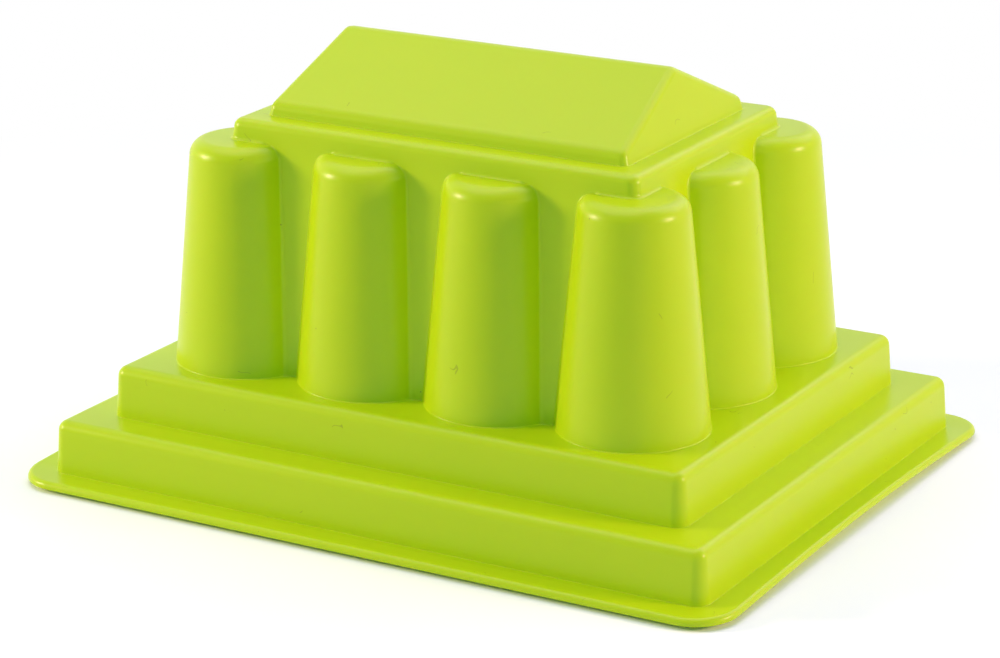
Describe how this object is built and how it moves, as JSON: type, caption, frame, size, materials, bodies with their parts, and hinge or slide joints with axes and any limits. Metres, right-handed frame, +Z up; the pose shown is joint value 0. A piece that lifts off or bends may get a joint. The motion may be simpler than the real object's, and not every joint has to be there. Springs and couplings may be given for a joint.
{
  "type": "sand mould",
  "caption": "Hollow plastic sand mould in the shape of a stepped temple with round columns, flat caps and a gabled roof; packed from its open underside.",
  "frame": {"origin": "centre of the rim's underside, on the surface that the mould rests on", "axes": "+X along the long side towards the right end, +Y towards the back, +Z up through the ridge"},
  "size_m": [0.22, 0.174, 0.119],
  "materials": {
    "moulding": "satin, slightly waxy, as moulded"
  },
  "bodies": {
    "root": {"rim": "moulding", "lower_step": "moulding", "upper_step": "moulding", "column_front_1": "moulding", "column_front_2": "moulding", "column_front_3": "moulding", "column_front_4": "moulding", "column_back_1": "moulding", "column_back_2": "moulding", "column_back_3": "moulding", "column_back_4": "moulding", "column_left": "moulding", "column_right": "moulding", "panel_front_1": "moulding", "panel_front_2": "moulding", "panel_front_3": "moulding", "panel_back_1": "moulding", "panel_back_2": "moulding", "panel_back_3": "moulding", "panel_left_1": "moulding", "panel_left_2": "moulding", "panel_right_1": "moulding", "panel_right_2": "moulding", "cornice": "moulding", "roof": "moulding"}
  },
  "joints": []
}
